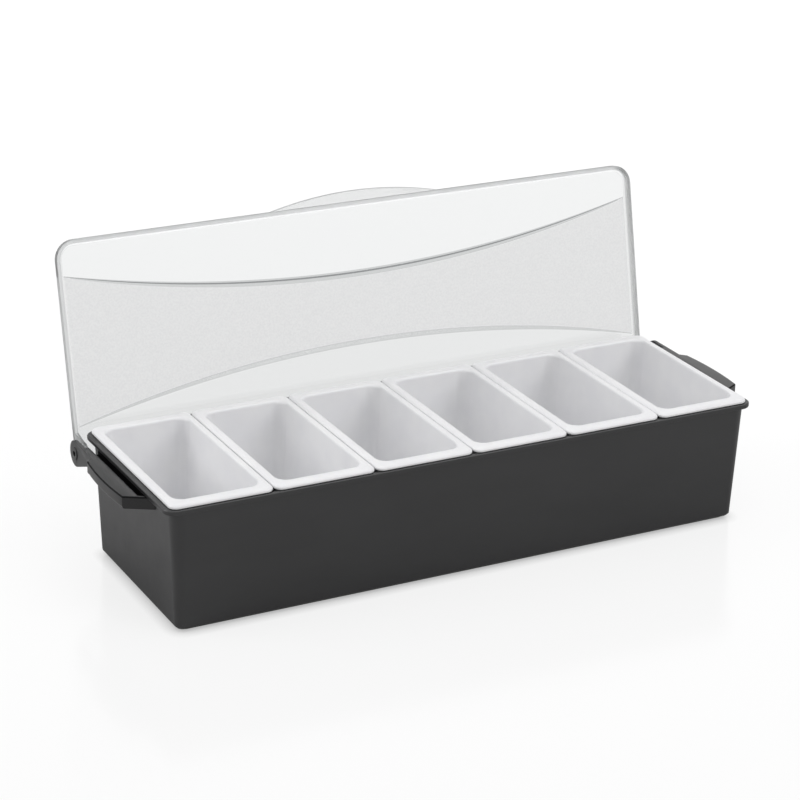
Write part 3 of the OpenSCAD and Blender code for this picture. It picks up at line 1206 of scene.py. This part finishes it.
@dataclass
class Lid:
    """The clear lid, built closed round its hinge axis and turned open at the end.

    Heights and places in Y are measured from the hinge axis on the closed lid. The lenses are how far
    behind the front edge the frosted band's two arcs lie in the middle, and the rises are how far the
    arcs bend away from each other towards the lid's ends.
    """

    front: float = -147.9
    rear: float = 11.9
    front_r: float = 14.3
    rear_r: float = 2.4
    least_r: float = 0.15
    top: float = 18.86
    thick: float = 2.4
    skirt_t: float = 2.3
    skirt_low: float = 12.16
    skirt_edge: float = 0.5
    rear_low: float = 7.7
    arm_front: float = -11.85
    edge_r: float = 1.4
    inner_r: float = 2.4
    hold: float = 0.4
    hub_r: float = 6.6
    hub_out: float = 3.0
    hub_in: float = 1.1
    hub_soft: tuple[tuple[float, float], ...] = ((0, 0.5), (0.5, 0.1), (0.9, 0.1), (0.96, 0.2), (1, 0.6))
    hub_steps: int = 64
    bore_r: float = 2.05
    bore_in: float = 5.0
    bore_out: float = 2.0
    bore_steps: int = 40
    tab_len: float = 137.4
    tab_out: float = 7.9
    tab_in: float = 2.0
    tab_sunk: float = 0.02
    tab_soft: float = 0.9
    tab_steps: int = 24
    front_lens: float = 52.8
    front_rise: float = 27.9
    rear_lens: float = 105.0
    rear_rise: float = 28.7
    band_gap: float = 0.2
    band_steps: int = 48
    below: float = 0.2
    recess: float = 0.5
    step_w: float = 1.3
    foot_w: float = 1.3
    frost_foot: float = 2.6
    foot_share: float = 0.2
    fade_power: float = 0.7
    least_deep: float = 0.05
    least_step: float = 0.08
    least_foot: float = 0.1
    flat: float = 0.9995
    gentle: float = 0.982
    tab_slope: float = 0.9
    upright: float = 0.5
    least_tilt: float = 0.1

    def __post_init__(self) -> None:
        """Takes the lid's width over its hubs from the frame, and works out what hangs on it."""
        self.hub_x = corners("lid")[1].x
        self.x = self.hub_x - self.hub_out
        self.inner_x = self.x - self.skirt_t
        self.under = self.top - self.thick

    def outline(self, inset: float) -> list[tuple[float, float]]:
        """The lid's plan, inset by a distance, always with the same points.

        Args:
            inset: distance inside the outer edge.

        Returns:
            Points from the rear right corner on, clockwise from above.
        """
        x, front, rear = self.x - inset, self.front + inset, self.rear - inset
        r, s = self.front_r - inset, max(self.rear_r - inset, self.least_r)
        rear_hold, front_hold = 0.5, 0.6
        half = [(x - s - rear_hold, rear)]
        half += [(x - s + s * math.sin(a), rear - s + s * math.cos(a)) for a in quarter_turn(4)]
        side = [self.hub_r * math.sin(math.radians(a)) for a in range(90, -91, -15)]
        side += between(-self.hub_r, self.arm_front, 3)
        side += [self.arm_front - rear_hold]
        side += between(self.arm_front - rear_hold, self.front + self.front_r + front_hold, 3)
        half += [(x, y) for y in side]
        half += [(x - r + r * math.cos(a), front + r - r * math.sin(a)) for a in quarter_turn(10)]
        half += [(x - r - front_hold, front)]
        return half + [(-px, py) for px, py in reversed(half)]

    def low(self) -> list[float]:
        """The height of the skirt's lower edge at each point of the outline.

        Returns:
            One height for each point.
        """
        heights = []
        for x, y in self.outline(0):
            if y > 0 and abs(x) < self.x - self.rear_r:
                heights.append(self.rear_low)
            elif y > self.hub_r:
                heights.append(self.rear_low * min(1.0, (y - self.hub_r) / (self.rear - self.hub_r)))
            elif y >= -self.hub_r:
                heights.append(-math.sqrt(max(0.0, self.hub_r ** 2 - y * y)))
            elif y > self.arm_front:
                heights.append(self.skirt_low * (y + self.hub_r) / (self.arm_front + self.hub_r))
            else:
                heights.append(self.skirt_low)
        return heights

    def shell(self) -> bpy.types.Object:
        """Skins the panel and its skirt into one closed mesh.

        Returns:
            The bare shell.
        """
        low = self.low()
        t, edge, outer, inner = self.skirt_t, self.skirt_edge, self.edge_r, self.inner_r

        def from_low(inset: float, rise: float) -> Loop:
            """A loop that follows the skirt's lower edge.

            Args:
                inset: distance inside the outer edge.
                rise: height over the lower edge.

            Returns:
                The loop.
            """
            return [(x, y, z + rise) for (x, y), z in zip(self.outline(inset), low)]

        def level(inset: float, z: float) -> Loop:
            """A flat loop.

            Args:
                inset: distance inside the outer edge.
                z: height.

            Returns:
                The loop.
            """
            return [(x, y, z) for x, y in self.outline(inset)]

        fine = [(math.sin(a), math.cos(a)) for a in quarter_turn(5)]
        coarse = fine[::2] + fine[-1:]
        loops = [level(t + inner + self.hold, self.under)]
        loops += [level(t + inner * (1 - sin), self.under - inner * (1 - cos)) for sin, cos in fine]
        loops += [level(t, self.under - inner - self.hold)]
        loops += [from_low(t - edge * (1 - cos), edge * (1 - sin)) for sin, cos in coarse]
        loops += [from_low(edge * (1 - sin), edge * (1 - cos)) for sin, cos in coarse]
        loops += [level(0, self.top - outer - self.hold)]
        loops += [level(outer * (1 - cos), self.top - outer * (1 - sin)) for sin, cos in fine]
        loops += [level(outer + self.hold, self.top)]
        return lofted("lid_panel", loops)

    def tab(self) -> bpy.types.Object:
        """The crescent on the front edge.

        Returns:
            The closed crescent.
        """
        half, soft = self.tab_len / 2, self.tab_soft
        r = (half ** 2 + self.tab_out ** 2) / (2 * self.tab_out)
        reach = math.asin(half / r)
        top, low = self.top - self.tab_sunk, self.under + self.tab_sunk
        centre, back = self.front - self.tab_out + r, self.front + self.tab_in

        def loop(inset: float, z: float) -> Loop:
            """The crescent's outline at one height.

            Args:
                inset: how far its round side is drawn in.
                z: the height.

            Returns:
                The loop.
            """
            turns = [reach * (k / self.tab_steps - 1) for k in range(2 * self.tab_steps + 1)]
            arc = [((r - inset) * math.sin(a), centre - (r - inset) * math.cos(a), z) for a in turns]
            return arc + [(half, back, z), (0, back, z), (-half, back, z)]

        steps = [(math.sin(a), math.cos(a)) for a in quarter_turn(4)]
        loops = [loop(soft * (1 - sin), low + soft * (1 - cos)) for sin, cos in steps]
        loops += [loop(soft * (1 - cos), top - soft * (1 - sin)) for sin, cos in steps]
        return lofted("lid_tab", loops)

    def band(self) -> bpy.types.Object:
        """The cutter that sinks the frosted band, deepest in the middle, fading to its ends.

        Returns:
            The closed cutter.
        """
        wide, under = self.inner_x - self.inner_r - self.band_gap, self.under
        rises = (self.front_rise, self.rear_rise)
        front_r, rear_r = ((self.inner_x ** 2 + rise ** 2) / (2 * rise) for rise in rises)
        loops: list[Loop] = []
        for k in range(2 * self.band_steps + 1):
            x = wide * (k / self.band_steps - 1)
            fade = max(0.0, 1 - (x / self.inner_x) ** 2) ** self.fade_power
            deep = self.recess * (self.least_deep + (1 - self.least_deep) * fade)
            half_step = self.step_w * (self.least_step + (1 - self.least_step) * fade) / 2
            foot = self.foot_w * (self.least_foot + (1 - self.least_foot) * fade)
            frost_foot = foot * self.frost_foot / self.foot_w
            rise = deep * self.foot_share
            run = foot + self.below * foot / rise
            near = self.front + self.front_lens - front_r + math.sqrt(front_r ** 2 - x * x)
            far = self.front + self.rear_lens + rear_r - math.sqrt(rear_r ** 2 - x * x)
            section = [
                (near - half_step - run, -self.below), (near - half_step, rise),
                (near + half_step, deep - rise), (near + half_step + frost_foot, deep),
                (far - half_step - foot, deep), (far - half_step, deep - rise),
                (far + half_step, rise), (far + half_step + run, -self.below),
            ]
            loops.append([(x, y, under + z) for y, z in section])
        return lofted("lid_band", loops)

    def kind(self, face: bpy.types.MeshPolygon) -> LidFace:
        """What sort of face one is, from its place and its slope, the cosine of its tilt.

        Args:
            face: a face of the closed lid.

        Returns:
            Its kind.
        """
        c, n = face.center / MM, face.normal
        near, slope = 0.01, abs(n.z)
        middle = self.front + (self.front_lens + self.rear_lens) / 2
        in_band = abs(c.x) < self.inner_x - self.inner_r and self.front + self.front_r < c.y < 0
        if in_band and self.under + near / 10 < c.z < self.top - self.thick / 2 and slope > self.upright:
            if slope > self.flat:
                return LidFace.FROSTED
            return LidFace.STEP if slope < self.gentle and c.y < middle else LidFace.SOFT_STEP
        fillet = abs(c.x) < self.inner_x + near and self.under - self.inner_r < c.z < self.under
        tab = c.y < self.front - NEAR_MM and slope > self.tab_slope
        if tab or (fillet and -self.flat < n.z < -self.least_tilt):
            return LidFace.THUMB
        if abs(c.z - self.under) < near:
            return LidFace.HAZED if c.y > self.front + self.rear_lens else LidFace.CLEAR
        return LidFace.CLEAR if c.z > self.top - near else LidFace.EDGE

    def build(self) -> bpy.types.Object:
        """Joins, cuts, dresses and opens the lid.

        Returns:
            The lid, dressed.
        """
        made = self.shell()
        combine(made, self.tab(), Cut.JOIN)
        hub = [(share, self.hub_r - off) for share, off in self.hub_soft]
        bore = [(0, self.bore_r), (1, self.bore_r)]
        for sign in (-1, 1):
            start, end = sign * (self.x - self.hub_in), sign * self.hub_x
            combine(made, disc("lid_hub", start, end, 0, 0, hub, self.hub_steps), Cut.JOIN)
            start, end = sign * (self.x - self.bore_in), sign * (self.hub_x + self.bore_out)
            combine(made, disc("lid_bore", start, end, 0, 0, bore, self.bore_steps), Cut.REMOVE)
        combine(made, self.band(), Cut.REMOVE)
        for face in made.data.polygons:
            face.material_index = self.kind(face).value
        smooth(made, by_material=True)
        y, z, angle = hinge()
        turned = Matrix.Rotation(math.radians(angle), 4, "X")
        made.data.transform(Matrix.Translation((0, y * MM, z * MM)) @ turned)
        made.data.update()
        # The step, soft step, edge and rear strip finishes, and the thumb finish on the skirt's fillet, are
        # grey tints: painted shade
        finishes = {
            LidFace.CLEAR: ClearPlastic(), LidFace.FROSTED: FrostedPlastic(), LidFace.STEP: ShadedStepPlastic(),
            LidFace.EDGE: ShadedEdgePlastic(), LidFace.SOFT_STEP: SoftShadedStepPlastic(), LidFace.THUMB: ThumbPlastic(),
            LidFace.HAZED: ShadedRearPlastic(),
        }
        return settle(made, "lid", ["lid"], [finishes[kind] for kind in LidFace])


# Studio and camera


@dataclass(frozen=True)
class Lamp:
    """One soft, square area lamp that faces a point over the caddy's middle. Lengths are in metres."""

    name: str
    at: tuple[float, float, float]
    aim_z: float
    size: float
    watts: float

    def build(self) -> None:
        """Adds the lamp."""
        data = bpy.data.lights.new(self.name, "AREA")
        data.shape = "SQUARE"
        data.size = self.size
        data.energy = self.watts
        made = bpy.data.objects.new(self.name, data)
        made.location = self.at
        ahead = Vector((0, 0, self.aim_z)) - Vector(self.at)
        made.rotation_euler = ahead.to_track_quat("-Z", "Y").to_euler()
        bpy.context.scene.collection.objects.link(made)


@dataclass
class Studio:
    """The floor, the lights and the camera at the photograph's viewing angle."""

    camera_at: tuple[float, float, float] = (-821.4, -1505.4, 800.4)
    yaw: float = 27.995
    pitch: float = 22.063
    roll: float = 1.354
    lens: float = 116.26
    sensor: float = 36.0
    far: float = 50.0
    floor_half: float = 9.0
    floor_z: float = -0.0003
    surround: float = 0.5
    lamps: tuple[Lamp, ...] = (
        Lamp("key_left", (-2.3, 0.9, 1.4), 0.08, 1.4, 24),
        Lamp("top", (0.2, -0.3, 2.4), 0.05, 1.6, 16),
        Lamp("front_fill", (1.3, -2.1, 1.6), 0.08, 1.4, 18),
    )

    def floor(self) -> None:
        """Lays the floor and gives it its material."""
        h, z = self.floor_half, self.floor_z
        made = meshed("studio_floor", [(-h, -h, z), (h, -h, z), (h, h, z), (-h, h, z)], [(0, 1, 2, 3)])
        made.data.materials.append(StudioFloor().build())

    def world(self) -> None:
        """Makes a soft surround that shows as plain white to the camera, in gloss and through the lid."""
        world = bpy.data.worlds.new("studio")
        bpy.context.scene.world = world
        world.use_nodes = True
        tree = world.node_tree
        tree.nodes.clear()
        path = add(tree, "ShaderNodeLightPath").outputs
        seen = add(tree, "ShaderNodeMath", {0: path["Is Camera Ray"], 1: path["Is Transmission Ray"]},
                   operation="MAXIMUM")
        seen = add(tree, "ShaderNodeMath", {0: seen.outputs[0], 1: path["Is Glossy Ray"]},
                   operation="MAXIMUM")
        soft = add(tree, "ShaderNodeBackground", {"Color": (1, 1, 1, 1), "Strength": self.surround})
        plain = add(tree, "ShaderNodeBackground", {"Color": (1, 1, 1, 1), "Strength": 1.0})
        mixed = add(tree, "ShaderNodeMixShader", {
            0: seen.outputs[0], 1: soft.outputs[0], 2: plain.outputs[0],
        })
        add(tree, "ShaderNodeOutputWorld", {"Surface": mixed.outputs[0]})

    def camera(self) -> None:
        """Sets the camera from the fitted place, angles and lens."""
        yaw, pitch, roll = (math.radians(a) for a in (self.yaw, self.pitch, self.roll))
        ahead = Vector((math.sin(yaw) * math.cos(pitch), math.cos(yaw) * math.cos(pitch), -math.sin(pitch)))
        right = Vector((math.cos(yaw), -math.sin(yaw), 0))
        up = right.cross(ahead)
        side = math.cos(roll) * right + math.sin(roll) * up
        head = -math.sin(roll) * right + math.cos(roll) * up
        data = bpy.data.cameras.new("photo_view")
        data.lens = self.lens
        data.sensor_width = self.sensor
        data.clip_end = self.far
        made = bpy.data.objects.new("photo_view", data)
        matrix = Matrix((side, head, -ahead)).transposed().to_4x4()
        matrix.translation = Vector(self.camera_at) * MM
        made.matrix_world = matrix
        bpy.context.scene.collection.objects.link(made)
        bpy.context.scene.camera = made

    def build(self) -> None:
        """Sets up the stage, the lights and the camera."""
        self.floor()
        self.world()
        for lamp in self.lamps:
            lamp.build()
        self.camera()
        bpy.context.scene.view_settings.view_transform = "Standard"


def main() -> None:
    """Builds the whole caddy and its studio."""
    logging.basicConfig(level=logging.INFO, format="%(name)s %(message)s")
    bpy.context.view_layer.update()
    Tray().build()
    for side in ("left", "right"):
        Bracket(side).build()
        Pin(side).build()
    Inserts().build()
    Lid().build()
    Studio().build()


if __name__ == "__main__":
    main()
